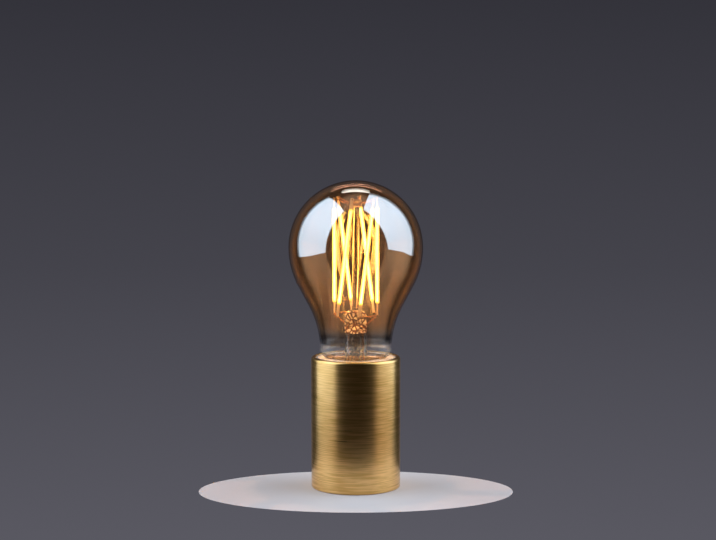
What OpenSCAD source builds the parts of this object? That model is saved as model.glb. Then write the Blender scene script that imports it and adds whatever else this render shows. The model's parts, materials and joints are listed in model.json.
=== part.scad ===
// LED filament bulb in a brushed brass lampholder, in millimetres.
// The origin is the middle of the holder's underside and +Z runs up the bulb's axis.
// The bulb is drawn screwed right home. Angles round the axis are counted from the front (-Y) towards +X.

/* [Bulb glass] */
// Length of the bulb from its tip contact to the top of the glass
bulb_l = 105; // [98:0.5:114]
// Widest diameter of the glass
bulb_d = 60; // [55:0.5:66]
// Thickness of the blown glass
glass_t = 0.8; // [0.5:0.1:1.2]
// Radius of the side just below the widest place
belly_r = 36; // [32:0.5:44]
// How much steeper the throat slopes than a straight line from the widest place to the neck
throat_sweep = 1.65; // [1.5:0.05:1.8]
// Diameter of the neck above the screw cap
neck_d = 32; // [30:0.5:33.5]
// Radius of the rounded foot where the neck turns in to the cap
foot_r = 3.1; // [2:0.1:4]
// Radius of the hollow curve between the foot and the spigot
sill_r = 1.5; // [0.8:0.1:1.6]
// Diameter of the glass spigot that sits in the cap
spigot_d = 22.4; // [21:0.1:22.6]
// Length of the spigot below the top edge of the cap
spigot_l = 5.9; // [5:0.1:7]

/* [Stem] */
// Diameter of the stem tube
stem_d = 10; // [8:0.5:12]
// Wall of the stem tube and its flare
stem_t = 0.8; // [0.6:0.1:1]
// Radius of the flare at the bottom of the stem tube
flare_r = 5.2; // [4:0.1:5.4]
// Height of the stem tube's top above the cap
stem_rise = 11; // [8:0.5:14]
// Height of the flattened glass press
press_h = 9.5; // [7:0.5:11]
// Thickness of the press from front to back
press_t = 4.6; // [3.6:0.2:6]
// Diameter of the exhaust tube
exhaust_d = 4; // [3:0.2:4.6]
// Wall of the exhaust tube
exhaust_t = 0.7; // [0.5:0.1:0.9]
// Height of the exhaust tube's sealed end below the top edge of the cap
exhaust_drop = 8.4; // [7.6:0.2:9]
// Diameter of the solid glass rod above the press
rod_d = 3.2; // [2.4:0.2:4]
// Diameter of the button on top of the rod
button_d = 5.8; // [5:0.2:7]
// Height of the button
button_h = 3.1; // [2.4:0.1:4]
// How much narrower the button's waist is than its lower flange
button_waist = 1.2; // [0.8:0.1:1.8]
// How much narrower the button's upper flange is than its lower one
button_taper = 0.4; // [0:0.1:0.6]

/* [Filaments] */
// Length of a filament's glowing coat
filament_l = 43; // [36:1:46]
// Diameter of the glowing coat
filament_d = 2; // [1.4:0.1:2.2]
// Radius of the ring on which the filament ends stand
filament_ring_r = 10.1; // [8.5:0.1:12]
// Angle that each end is turned from the filament's middle
filament_twist = 18; // [0:1:24]
// Height of the filaments' lower ends above the press
filament_rise = 3.8; // [3.4:0.1:5]
// How far the tops of the filaments stay below the button
filament_drop = 0.5; // [0.2:0.1:3]
// Width of the flat metal tabs at the filament ends
tab_w = 1.5; // [1:0.1:1.8]
// Thickness of the tabs
tab_t = 0.4; // [0.3:0.05:0.6]
// Length of the upper tabs
upper_tab_l = 4.8; // [3.4:0.1:5.4]
// Length of the lower tabs
lower_tab_l = 5.4; // [4:0.1:6]
// Diameter of the star wires at the top
star_wire_d = 0.6; // [0.4:0.05:0.8]
// Diameter of the half rings below
ring_wire_d = 0.8; // [0.6:0.05:1.1]
// Diameter of the lead wires in the stem
lead_wire_d = 0.7; // [0.4:0.05:0.8]
// Distance of each lead wire from the axis inside the stem
lead_offset = 3.3; // [3:0.1:3.5]
// Height above the stem tube at which the lead wires turn out of the press
lead_entry = 2.2; // [1.5:0.1:3]

/* [Screw cap] */
// Height of the cap from the tip contact to its top edge
cap_h = 26; // [25:0.1:28]
// Outer diameter of the cap's thread
thread_d = 26.2; // [26.05:0.05:26.45]
// Depth of the thread from crest to root
thread_depth = 1.1; // [0.9:0.05:1.2]
// Rise of the thread in one turn
thread_pitch = 3.629; // [3.5:0.001:3.7]
// Number of thread turns on the cap
thread_turns = 5; // [4:0.5:5]
// Thickness of the shell at the thread's root
shell_t = 0.4; // [0.3:0.05:0.5]
// Outer diameter of the plain collar above the thread
collar_d = 26.7; // [26.5:0.05:26.9]
// Wall of the collar
collar_t = 0.45; // [0.3:0.05:0.6]
// Height of the collar
collar_h = 2.6; // [2.2:0.1:3]
// Height of the step inside the collar's lower end
collar_step = 0.5; // [0.4:0.1:0.8]
// Height of the rolled lip under the thread
lip_h = 1; // [0.8:0.1:1.2]
// How far the lip's lower edge draws in from the shell's bore
lip_draw = 0.6; // [0.4:0.1:0.7]
// How far the lip grips in round the insulator
lip_grip = 1; // [0.9:0.1:1.2]
// Diameter of the tip contact
tip_d = 9.4; // [8:0.1:10.5]
// Diameter of the solder dome under the tip contact
solder_d = 4.4; // [3:0.1:5]
// Thickness of the tip contact with its solder
tip_t = 1; // [0.8:0.1:1.4]
// Width of the insulator round the tip contact
insulator_rim = 0.7; // [0.4:0.1:1]
// Height of the insulator's plug above the lower end of the thread
plug_h = 1.4; // [1:0.1:1.6]
// Bore of the insulator for the wire to the tip
insulator_bore_d = 1.6; // [1.2:0.1:2]
// Gap round the pieces that sit in the shell
shell_fit = 0.1; // [0.05:0.01:0.15]
// Gap left for the basing cement on each side of it
cement_fit = 0.05; // [0.02:0.01:0.1]

/* [Driver in the cap] */
// Width of the driver board
board_w = 14; // [11:0.5:16]
// Height of the driver board
board_h = 11; // [9.5:0.5:11]
// Thickness of the driver board
board_t = 1; // [0.8:0.1:1.6]
// Distance of the board's back from the axis
board_offset = 3.5; // [3.4:0.1:4.5]
// Gap between the insulator's plug and the board
board_rise = 0.6; // [0.4:0.1:0.8]
// Diameter of the smoothing capacitor
capacitor_d = 5.8; // [4:0.2:6]
// Height of the smoothing capacitor
capacitor_h = 8.5; // [6:0.5:9]
// Diameter of the choke
choke_d = 4.8; // [4:0.2:5]
// Height of the choke
choke_h = 6; // [4:0.5:8]
// Diameter of the fusible resistor
resistor_d = 1.8; // [1.4:0.1:2]
// Length of the fusible resistor
resistor_l = 5; // [4:0.5:6]
// Side of the driver chip
chip_w = 4.9; // [3:0.1:6]
// Thickness of the driver chip and the rectifier
chip_t = 1.5; // [1:0.1:2.4]
// Width of the rectifier
rectifier_w = 4.6; // [3:0.1:6]
// Distance of each chip from the middle of the board
chip_gap = 1; // [0.4:0.1:1.2]
// Height of the chips above the board's lower edge
chip_rise = 2; // [1:0.1:4]
// Distance of the capacitor and the choke from the board's back
part_gap = 1.2; // [1.1:0.1:1.6]
// Distance of the capacitor to one side of the axis
capacitor_side = 0.4; // [0.3:0.1:0.8]
// Distance of the choke to the other side of the axis
choke_side = 1; // [0.8:0.1:1.4]
// Height of the resistor above the board's lower edge
resistor_rise = 3; // [2:0.1:4]
// Diameter of the wires from the driver to the tip and the shell
hook_wire_d = 0.6; // [0.4:0.05:0.7]

/* [Holder cup] */
// Outer diameter of the brass cup
cup_d = 40; // [38.5:0.5:50]
// Height of the cup
cup_h = 59; // [55:0.5:80]
// Wall of the cup
cup_t = 1.8; // [1.2:0.1:3]
// Thickness of the cup's floor
cup_floor = 4; // [3:0.5:6]
// Radius of the rounded outer edge of the rim
rim_round = 1.2; // [0.4:0.1:1.2]
// Chamfer round the bottom edge
base_chamfer = 0.4; // [0.2:0.1:1]
// Drilling for the M10 by 1 nipple in the floor
entry_d = 9; // [9:0.1:10.5]

/* [Socket] */
// Gap between the porcelain core and the cup
core_gap = 0.2; // [0.1:0.05:0.4]
// How far the core's top face lies below the rim
core_drop = 0.4; // [0:0.1:1]
// How far the cap's top edge lies below the rim
cap_drop = 0.1; // [0:0.1:1]
// Thickness of the core's floor under the socket
core_floor = 12.2; // [11.8:0.1:14]
// Radial gap between the two threads
thread_fit = 0.28; // [0.22:0.01:0.34]
// Wall of the thread sleeve outside its own thread
sleeve_t = 0.57; // [0.45:0.01:0.8]
// Gap between the thread sleeve and the core
sleeve_fit = 0.05; // [0.02:0.01:0.1]
// Length of the thread sleeve
sleeve_l = 18.6; // [16:0.1:19]
// How far the thread sleeve stays below the thread end of the cap
sleeve_drop = 0.8; // [0.6:0.1:1.2]
// How far the heads of the core screws lie below the socket's floor
head_sink = 0.2; // [0.1:0.1:0.6]

/* [Sprung contact] */
// Travel of the centre contact
plunger_travel = 1.5; // [1:0.1:1.8]
// Diameter of the centre contact
plunger_d = 6; // [4.6:0.1:6.4]
// Diameter of the flange that keeps it in its guide
plunger_flange_d = 7.8; // [7.2:0.1:8]
// Thickness of that flange
plunger_flange_t = 1.2; // [0.8:0.1:1.5]
// Radial gap of the contact in its guide
plunger_fit = 0.08; // [0.05:0.01:0.1]
// How far the contact stands above the socket's floor
plunger_rise = 1.7; // [1.6:0.1:3]
// Gap between the contact and the bulb's tip, and under the guide's lip
plunger_gap = 0.05; // [0.03:0.01:0.1]
// Wall of the contact guide
guide_t = 1; // [0.7:0.1:1.2]
// Depth of the guide's top below the socket's floor
guide_sink = 2.2; // [0.5:0.1:2.2]
// Thickness of the guide's lip and base
guide_lip = 1.5; // [1:0.1:1.6]
// Length of the contact spring at rest
spring_l = 4.2; // [3.6:0.1:4.4]
// Wire diameter of the contact spring
spring_wire_d = 0.5; // [0.35:0.05:0.55]
// Number of turns of the contact spring
spring_turns = 4; // [3:0.5:5]

/* [Terminals] */
// Thickness of the contact strips
strip_t = 0.8; // [0.5:0.1:0.8]
// Width of the contact strips
strip_w = 4; // [3:0.5:6]
// Side of a terminal block along its strip
block_l = 5.8; // [5:0.1:5.9]
// Width of a terminal block
block_w = 7; // [5:0.5:8]
// Height of a terminal block
block_h = 7; // [5.5:0.5:8]
// Thickness left above the screw hole in a terminal block
block_cap = 1.5; // [1:0.1:2]
// Distance of the terminal blocks from the axis
block_offset = 10; // [9.9:0.1:10.1]
// Length of a terminal screw's thread in its block
block_grip = 2.5; // [2:0.1:3]
// Hole for the wire in a terminal block
wire_hole_d = 2.6; // [1.5:0.1:3]
// Gap round the blocks, strips and guide in the porcelain
pocket_gap = 0.1; // [0.05:0.05:0.3]

/* [Bracket and screws] */
// Thickness of the mounting bracket
bracket_t = 1.5; // [1:0.1:2]
// Width of the bracket's legs and lugs
bracket_w = 10; // [8:0.5:12]
// Diameter of the bracket's foot
bracket_foot_d = 25; // [24:0.5:27]
// Hole in the bracket's foot round the cable entry
bracket_hole_d = 11; // [10.6:0.1:12]
// Thread diameter of the small screws
screw_d = 3; // [2.5:0.1:3.5]
// Head diameter of the small screws
screw_head_d = 5.4; // [4.8:0.1:6]
// Head height of the small screws
screw_head_h = 1.8; // [1.2:0.1:2]
// Distance of the core screws from the axis
core_screw_r = 9.5; // [9:0.1:10.5]
// Distance of the bracket screws from the axis
bracket_screw_r = 9.2; // [9:0.1:9.6]
// Thread diameter of the earth screw
earth_screw_d = 4; // [3:0.1:4.4]
// Head diameter of the earth screw
earth_head_d = 7; // [6:0.1:7.2]
// Width of the slots in the screw heads
slot_w = 0.8; // [0.5:0.1:1]
// Gap round a screw in a hole
screw_gap = 0.05; // [0.02:0.01:0.1]
// Extra width of the screw holes in the porcelain
core_hole_extra = 0.6; // [0.4:0.1:1]
// Thickness left under the blind screw holes in the cup's floor
blind_floor = 1; // [0.8:0.1:1.2]
// Gap under the ends of the bracket screws
screw_end_gap = 0.4; // [0.2:0.1:0.6]
// How far the core screws stand out of the bracket's lugs
screw_end = 0.5; // [0.2:0.1:0.8]
// Thickness of the earth washer
washer_t = 0.8; // [0.5:0.1:1]
// Width of the earth washer round the screw head
washer_rim = 0.3; // [0.2:0.1:0.4]
// Width of the lugs round the heads of the screws in them
lug_rim = 0.5; // [0.4:0.1:0.8]

/* [Hidden] */
$fn = 64;

// The filaments, shared by two half rings. Each is a node of its own.
filament_count = 6;

// Overshoot of a cut past the face that it goes through
over = 1;

brass = [0.72, 0.58, 0.36];
copper = [0.80, 0.50, 0.34];
nickel = [0.72, 0.71, 0.68];
steel = [0.62, 0.64, 0.66];
clear_glass = [0.80, 0.84, 0.86];
amber_glass = [0.55, 0.38, 0.22];
porcelain = [0.93, 0.90, 0.85];

// Heights along the axis
cap_top_z = cup_h - cap_drop;
tip_z = cap_top_z - cap_h;
bulb_top_z = tip_z + bulb_l;
widest_z = bulb_top_z - bulb_d / 2;
throat_z = cap_top_z + foot_r;
spigot_z = cap_top_z - spigot_l;
thread_l = thread_turns * thread_pitch;
thread_top_z = cap_top_z - collar_h;
thread_low_z = thread_top_z - thread_l;
socket_floor_z = tip_z - plunger_rise;
core_low_z = socket_floor_z - core_floor;
core_top_z = cup_h - core_drop;

// The glass side: a straight slope joins the belly's arc to the throat's arc without a corner
throat_slope = throat_sweep * atan2(bulb_d / 2 - neck_d / 2, widest_z - throat_z);
belly_end = [
    bulb_d / 2 - belly_r + belly_r * cos(throat_slope),
    widest_z - belly_r * sin(throat_slope)
];
throat_drop = belly_end[1] - throat_z;
throat_reach = belly_end[0] - neck_d / 2;
slope_drop = (throat_reach - throat_drop * tan(throat_slope / 2))
    / (tan(throat_slope) - tan(throat_slope / 2));
throat_r = (throat_drop - slope_drop) / sin(throat_slope);

// Stem and filaments
stem_top_z = cap_top_z + stem_rise;
press_top_z = stem_top_z + press_h;
filament_drop_z = sqrt(pow(filament_l, 2) - pow(2 * filament_ring_r * sin(filament_twist), 2));
filament_low_z = press_top_z + filament_rise;
filament_top_z = filament_low_z + filament_drop_z;
button_z = filament_top_z + filament_drop;
lead_bend_z = spigot_z + 1;

// Cap and driver
shell_bore_r = thread_d / 2 - thread_depth - shell_t;
insulator_top_z = thread_low_z + plug_h;
board_z = insulator_top_z + board_rise;
solder_x = shell_bore_r - 0.4;
solder_y = -0.5;
board_y = -board_offset - board_t / 2;
part_y = -board_offset + part_gap;

// Socket
sleeve_bore_r = thread_d / 2 + thread_fit;
sleeve_r = sleeve_bore_r + sleeve_t;
socket_r = sleeve_r + sleeve_fit;
sleeve_top_z = thread_top_z - sleeve_drop;
sleeve_low_z = sleeve_top_z - sleeve_l;
riser_x = sqrt(pow(socket_r - pocket_gap, 2) - pow(strip_w / 2, 2)) - strip_t;

// Sprung contact
plunger_flange_top_z = socket_floor_z - guide_sink - guide_lip - plunger_gap;
plunger_flange_low_z = plunger_flange_top_z - plunger_flange_t;
spring_low_z = plunger_flange_low_z - spring_l;
guide_low_z = spring_low_z - guide_lip;
guide_bore_r = plunger_flange_d / 2 + plunger_fit;
guide_r = guide_bore_r + guide_t;

// Bracket
lug_reach = screw_head_d / 2 + lug_rim;
leg_y = core_screw_r + lug_reach;
earth_place = [-6.5, -6.5, 0];

// Point at radius r, at an angle counted from the front towards +X, at height z
function round_point(r, angle, z) = [r * sin(angle), -r * cos(angle), z];

// Points along an arc in the plane of the section
function arc(centre, r, from, to, steps) = [
    for (i = [0:steps])
        let (a = from + (to - from) * i / steps)
        [centre[0] + r * cos(a), centre[1] + r * sin(a)]
];

// Point at a distance from p on the line to q
function along(p, q, distance) = p + (q - p) * distance / norm(q - p);

function reversed(list) = [for (i = [len(list) - 1:-1:0]) list[i]];

function filament_mid(i) = (i - 0.5) * 360 / filament_count;
function filament_foot(i) =
    round_point(filament_ring_r, filament_mid(i) - filament_twist, filament_low_z);
function filament_head(i) =
    round_point(filament_ring_r, filament_mid(i) + filament_twist, filament_top_z);
function upper_tab_end(i) = along(filament_foot(i), filament_head(i), filament_l + upper_tab_l);
function lower_tab_end(i) = along(filament_head(i), filament_foot(i), filament_l + lower_tab_l);

// Point on the fusible resistor's own axis
function resistor_at(z) = [0.3, 0.3 + resistor_d / 2 - board_offset, z];

// Side of the glass from the top down to the end of its spigot, moved inwards by inset
function glass_side(inset) = concat(
    arc([0, widest_z], bulb_d / 2 - inset, 90, 0, 15),
    arc([bulb_d / 2 - belly_r, widest_z], belly_r - inset, -4, -throat_slope, 5),
    arc([neck_d / 2 + throat_r, throat_z], throat_r + inset, 180 - throat_slope, 180, 6),
    arc([neck_d / 2 - foot_r, throat_z], foot_r - inset, -15, -90, 5),
    arc([spigot_d / 2 + sill_r, cap_top_z - sill_r], sill_r + inset, 90, 180, 4),
    [[spigot_d / 2 - inset, spigot_z]]
);

// Straight round wire from p to q
module rod(p, q, d) {
    run = q - p;
    translate(p)
        rotate([0, acos(run[2] / norm(run)), atan2(run[1], run[0])])
            cylinder(d = d, h = norm(run), $fn = 24);
}

// Round wire through a list of points. A ball closes each bend and stands a hair proud of the wire.
module wire(points, d) {
    for (i = [1:len(points) - 1])
        rod(points[i - 1], points[i], d);
    for (i = [1:len(points) - 2])
        translate(points[i])
            sphere(d = d * 1.02, $fn = 24);
}

// Solid bounded by a right-handed rolled thread of mean radius r. The thread's phase hangs on the cap,
// so that the cap and the sleeve stay in mesh.
module thread_body(r, from_z, to_z) {
    around = 36;
    rows = ceil((to_z - from_z) / thread_pitch * 12);
    points = [
        for (j = [0:rows])
            let (z = from_z + (to_z - from_z) * j / rows)
            for (i = [0:around - 1])
                let (a = i * 360 / around)
                let (wave = cos(a - 360 * (z - thread_low_z) / thread_pitch))
                let (here = r + wave * thread_depth / 2)
                [here * cos(a), here * sin(a), z]
    ];
    sides = [
        for (j = [0:rows - 1])
            for (i = [0:around - 1])
                let (k = (i + 1) % around)
                let (low = j * around, high = low + around)
                for (face = [[low + i, high + i, low + k], [low + k, high + i, high + k]])
                    face
    ];
    floor_face = [for (i = [0:around - 1]) i];
    top_face = [for (i = [around - 1:-1:0]) rows * around + i];
    polyhedron(points, concat(sides, [floor_face, top_face]));
}

// Coil of round wire that stands on z = 0 between flat ends
module coil(r, d, height, turns) {
    around = 8;
    rows = ceil(turns * 14);
    rise = height - d;
    points = [
        for (j = [0:rows])
            let (turn = 360 * turns * j / rows)
            for (i = [0:around - 1])
                let (a = i * 360 / around)
                let (out = r + d / 2 * cos(a))
                [out * cos(turn), out * sin(turn), d / 2 + rise * j / rows + d / 2 * sin(a)]
    ];
    sides = [
        for (j = [0:rows - 1])
            for (i = [0:around - 1])
                let (k = (i + 1) % around)
                let (low = j * around, high = low + around)
                for (face = [[low + i, low + k, high + i], [low + k, high + k, high + i]])
                    face
    ];
    start_face = [for (i = [around - 1:-1:0]) i];
    end_face = [for (i = [0:around - 1]) rows * around + i];
    polyhedron(points, concat(sides, [start_face, end_face]));
}

// Slotted round-head screw with its head's underside on z = 0 and its thread below
module slotted_screw(d, head_d, head_h, length) {
    difference() {
        cylinder(d = head_d, h = head_h);
        translate([-head_d, -slot_w / 2, head_h / 2])
            cube([2 * head_d, slot_w, head_h]);
    }
    translate([0, 0, -length])
        cylinder(d = d, h = length);
}

module glass_envelope() {
    color(amber_glass)
        rotate_extrude($fn = 96)
            polygon(concat(glass_side(0), reversed(glass_side(glass_t))));
}

// The stem's tube and the flared foot that is fused under the end of the envelope's spigot
module stem_flare() {
    tube_r = stem_d / 2;
    flare_centre = [tube_r + flare_r, spigot_z + flare_r];
    color(clear_glass)
        rotate_extrude()
            polygon(concat(
                [[tube_r, stem_top_z]],
                arc(flare_centre, flare_r, 180, 270, 8),
                [[spigot_d / 2, spigot_z], [spigot_d / 2, spigot_z - stem_t]],
                arc(flare_centre, flare_r + stem_t, 270, 180, 8),
                [[tube_r - stem_t, stem_top_z]]
            ));
}

module stem_press() {
    color(clear_glass)
        translate([0, 0, stem_top_z])
            linear_extrude(press_h)
                intersection() {
                    circle(d = stem_d);
                    square([stem_d, press_t], center = true);
                }
}

module exhaust_tube() {
    low_z = cap_top_z - exhaust_drop + exhaust_d / 2;
    color(clear_glass)
        difference() {
            union() {
                translate([0, 0, low_z])
                    cylinder(d = exhaust_d, h = stem_top_z - low_z);
                translate([0, 0, low_z])
                    sphere(d = exhaust_d);
            }
            translate([0, 0, low_z])
                cylinder(d = exhaust_d - 2 * exhaust_t, h = stem_top_z);
        }
}

module centre_rod() {
    color(clear_glass)
        translate([0, 0, press_top_z])
            cylinder(d = rod_d, h = button_z - press_top_z);
}

// Two flanges with a waist between them, which grips the star wires
module rod_button() {
    flange_h = button_h * 0.3;
    color(copper)
        translate([0, 0, button_z]) {
            cylinder(d = button_d, h = flange_h);
            cylinder(d = button_d - button_waist, h = button_h);
            translate([0, 0, button_h - flange_h])
                cylinder(d = button_d - button_taper, h = flange_h);
        }
}

module filament(i) {
    color("gold")
        rod(filament_foot(i), filament_head(i), filament_d);
}

module filament_1() {
    filament(1);
}

module filament_2() {
    filament(2);
}

module filament_3() {
    filament(3);
}

module filament_4() {
    filament(4);
}

module filament_5() {
    filament(5);
}

module filament_6() {
    filament(6);
}

// Flat tab in line with filament i, from low to high, its width along the ring
module end_tab(i, low, high) {
    run = high - low;
    translate(low)
        rotate([0, acos(run[2] / norm(run)), filament_mid(i)])
            translate([-tab_w / 2, -tab_t / 2, 0])
                cube([tab_w, tab_t, norm(run)]);
}

module upper_tabs() {
    color(nickel)
        for (i = [1:filament_count])
            end_tab(i, filament_head(i), upper_tab_end(i));
}

module lower_tabs() {
    color(nickel)
        for (i = [1:filament_count])
            end_tab(i, lower_tab_end(i), filament_foot(i));
}

// One wire from the waist of the button to the top of each filament
module top_star() {
    color(copper)
        for (i = [1:filament_count]) {
            end = upper_tab_end(i);
            angle = atan2(end[0], -end[1]);
            grip_r = (button_d - button_waist) / 2 - star_wire_d;
            rod(round_point(grip_r, angle, button_z + button_h / 2), end, star_wire_d);
        }
}

// Half ring that joins the lower ends of the filaments from first to last
module half_ring(first, last) {
    start = lower_tab_end(first);
    r = norm([start[0], start[1]]);
    step = 360 / filament_count;
    translate([0, 0, start[2]])
        rotate([0, 0, atan2(start[1], start[0])])
            rotate_extrude(angle = step * (last - first))
                translate([r, 0])
                    circle(d = ring_wire_d, $fn = 24);
}

module live_ring() {
    color(copper)
        half_ring(1, filament_count / 2);
}

module neutral_ring() {
    color(copper)
        half_ring(filament_count / 2 + 1, filament_count);
}

// Lead wire from the middle of a half ring, into the press and down the stem to the driver board
module lead(middle, side) {
    x = side * lead_offset;
    ring_end = lower_tab_end(middle);
    color(copper)
        wire([
            ring_end,
            [x, 0, stem_top_z + lead_entry],
            [x, 0, lead_bend_z],
            [x, board_y, board_z + board_h]
        ], lead_wire_d);
}

module live_lead() {
    lead(ceil(filament_count / 4), 1);
}

module neutral_lead() {
    lead(filament_count / 2 + ceil(filament_count / 4), -1);
}

// Brass shell with the male thread, a plain collar above it and a lip below that grips the insulator
module cap_shell() {
    color(nickel)
        difference() {
            union() {
                thread_body(thread_d / 2 - thread_depth / 2, thread_low_z, thread_top_z);
                translate([0, 0, thread_top_z])
                    cylinder(d = collar_d, h = collar_h);
                translate([0, 0, thread_low_z - lip_h])
                    rotate_extrude()
                        polygon([
                            [0, 0],
                            [shell_bore_r - lip_draw, 0],
                            [thread_d / 2 - thread_depth, lip_h],
                            [0, lip_h]
                        ]);
            }
            translate([0, 0, thread_low_z])
                cylinder(r = shell_bore_r, h = thread_l + over);
            translate([0, 0, thread_low_z - lip_h - over])
                cylinder(r = shell_bore_r - lip_grip, h = lip_h + 2 * over);
            translate([0, 0, thread_top_z + collar_step])
                cylinder(d = collar_d - 2 * collar_t, h = collar_h);
        }
}

module cap_cement() {
    in_r = spigot_d / 2 + cement_fit;
    low_r = shell_bore_r - cement_fit;
    top_r = collar_d / 2 - collar_t - cement_fit;
    low_z = spigot_z + 4 * cement_fit;
    step_z = thread_top_z + collar_step + cement_fit;
    top_z = cap_top_z - sill_r - cement_fit;
    color([0.85, 0.82, 0.74])
        rotate_extrude()
            polygon([
                [in_r, low_z],
                [low_r, low_z],
                [low_r, step_z],
                [top_r, step_z],
                [top_r, top_z],
                [in_r, top_z]
            ]);
}

// Black glass cone between the shell and the tip contact, with a plug inside the shell
module cap_insulator() {
    plug_r = shell_bore_r - lip_grip - shell_fit;
    cone_top_z = thread_low_z - lip_h - shell_fit;
    color([0.08, 0.08, 0.10])
        difference() {
            rotate_extrude()
                polygon([
                    [0, tip_z + tip_t],
                    [tip_d / 2 + insulator_rim, tip_z + tip_t],
                    [shell_bore_r - lip_draw, cone_top_z],
                    [plug_r, cone_top_z],
                    [plug_r, insulator_top_z],
                    [0, insulator_top_z]
                ]);
            translate([0, 0, tip_z])
                cylinder(d = insulator_bore_d, h = cap_h);
        }
}

module cap_contact() {
    dome = tip_t * 0.3;
    color(nickel)
        translate([0, 0, tip_z])
            rotate_extrude()
                polygon([
                    [0, 0],
                    [solder_d / 4, 0],
                    [solder_d / 2, dome],
                    [tip_d / 2, dome],
                    [tip_d / 2, tip_t],
                    [0, tip_t]
                ]);
}

module driver_board() {
    color([0.20, 0.42, 0.26])
        translate([-board_w / 2, board_y - board_t / 2, board_z])
            cube([board_w, board_t, board_h]);
}

module rectifier() {
    color([0.12, 0.12, 0.13])
        translate([-chip_gap - rectifier_w, board_y - board_t / 2 - chip_t, board_z + chip_rise])
            cube([rectifier_w, chip_t, rectifier_w]);
}

module driver_chip() {
    color([0.12, 0.12, 0.13])
        translate([chip_gap, board_y - board_t / 2 - chip_t, board_z + chip_rise])
            cube([chip_w, chip_t, chip_w]);
}

module smoothing_capacitor() {
    color([0.15, 0.18, 0.30])
        translate([-capacitor_d / 2 - capacitor_side, part_y + capacitor_d / 2, board_z + 0.5])
            cylinder(d = capacitor_d, h = capacitor_h);
}

module choke() {
    color([0.35, 0.22, 0.14])
        translate([choke_d / 2 + choke_side, part_y + choke_d / 2, board_z + 1])
            cylinder(d = choke_d, h = choke_h);
}

module fusible_resistor() {
    color([0.45, 0.62, 0.70])
        translate(resistor_at(board_z + resistor_rise))
            cylinder(d = resistor_d, h = resistor_l);
}

// From the tip contact, through the insulator, to the fusible resistor
module tip_wire() {
    color(copper)
        wire([
            [0, 0, tip_z + tip_t + 0.2],
            [0, 0, insulator_top_z + 0.5],
            resistor_at(board_z + resistor_rise - 1),
            resistor_at(board_z + resistor_rise)
        ], hook_wire_d);
}

// From the board's edge to the inside of the shell
module shell_wire() {
    wire_z = board_z + board_h - 2;
    color(copper)
        wire([
            [board_w / 2, board_y, wire_z],
            [board_w / 2 + 0.8, board_y, wire_z],
            [solder_x - 0.4, solder_y, wire_z - 1]
        ], hook_wire_d);
}

module shell_solder() {
    color(nickel)
        intersection() {
            translate([solder_x, solder_y, board_z + board_h - 3])
                sphere(r = 0.9);
            cylinder(r = shell_bore_r, h = cap_top_z);
        }
}

// Turned brass cup with a rounded rim, a threaded entry and two blind screw holes in its floor
module holder_cup() {
    r = cup_d / 2;
    bore_r = r - cup_t;
    color(brass)
        difference() {
            rotate_extrude($fn = 96)
                polygon(concat(
                    [[0, 0], [r - base_chamfer, 0], [r, base_chamfer]],
                    arc([r - rim_round, cup_h - rim_round], rim_round, 0, 90, 8),
                    [[bore_r, cup_h], [bore_r, cup_floor], [0, cup_floor]]
                ));
            translate([0, 0, -over])
                cylinder(d = entry_d, h = cup_floor + 2 * over);
            for (side = [-1, 1])
                translate([side * bracket_screw_r, 0, blind_floor])
                    cylinder(d = screw_d + 2 * screw_gap, h = cup_floor);
        }
}

// Pocket for a terminal block and its strip in the underside of the core
module terminal_pocket(side, strip_z) {
    low_z = core_low_z - over;
    block_x = side * block_offset - block_l / 2 - pocket_gap;
    strip_x = side < 0 ? -block_offset - block_l / 2 : 0;
    translate([block_x, -block_w / 2 - pocket_gap, low_z])
        cube([
            block_l + 2 * pocket_gap,
            block_w + 2 * pocket_gap,
            strip_z + strip_t + block_h + pocket_gap - low_z
        ]);
    translate([strip_x, -strip_w / 2 - pocket_gap, low_z])
        cube([
            block_offset + block_l / 2,
            strip_w + 2 * pocket_gap,
            strip_z + strip_t + pocket_gap - low_z
        ]);
}

// Glazed porcelain body that holds the sleeve, the sprung contact and the terminals
module porcelain_core() {
    r = cup_d / 2 - cup_t - core_gap;
    strip_z = guide_low_z - strip_t;
    color(porcelain)
        difference() {
            translate([0, 0, core_low_z])
                cylinder(r = r, h = core_top_z - core_low_z, $fn = 96);
            translate([0, 0, socket_floor_z])
                cylinder(r = socket_r, h = core_top_z);
            translate([0, 0, core_low_z - over])
                cylinder(r = guide_r + pocket_gap, h = core_floor + 2 * over);
            terminal_pocket(1, strip_z);
            terminal_pocket(-1, strip_z);
            translate([-riser_x - strip_t - pocket_gap, -strip_w / 2 - pocket_gap, core_low_z - over])
                cube([
                    strip_t + 2 * pocket_gap + over,
                    strip_w + 2 * pocket_gap,
                    socket_floor_z - core_low_z + 2 * over
                ]);
            for (side = [-1, 1])
                translate([0, side * core_screw_r, 0]) {
                    translate([0, 0, core_low_z - over])
                        cylinder(d = screw_d + core_hole_extra, h = core_floor + 2 * over);
                    translate([0, 0, socket_floor_z - screw_head_h - head_sink])
                        cylinder(d = screw_head_d + core_hole_extra, h = screw_head_h + over);
                }
        }
}

// Brass sleeve with the female thread
module thread_sleeve() {
    color(brass)
        difference() {
            translate([0, 0, sleeve_low_z])
                cylinder(r = sleeve_r, h = sleeve_l, $fn = 96);
            thread_body(sleeve_bore_r - thread_depth / 2, sleeve_low_z - over, sleeve_top_z + over);
        }
}

// Brass cup in the core's floor that guides the sprung contact and is riveted to the live strip
module contact_guide() {
    guide_top_z = socket_floor_z - guide_sink;
    color(brass)
        difference() {
            translate([0, 0, guide_low_z])
                cylinder(r = guide_r, h = guide_top_z - guide_low_z);
            translate([0, 0, spring_low_z])
                cylinder(r = guide_bore_r, h = plunger_flange_top_z + plunger_gap - spring_low_z);
            translate([0, 0, spring_low_z])
                cylinder(r = plunger_d / 2 + plunger_fit, h = guide_top_z);
        }
}

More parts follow.
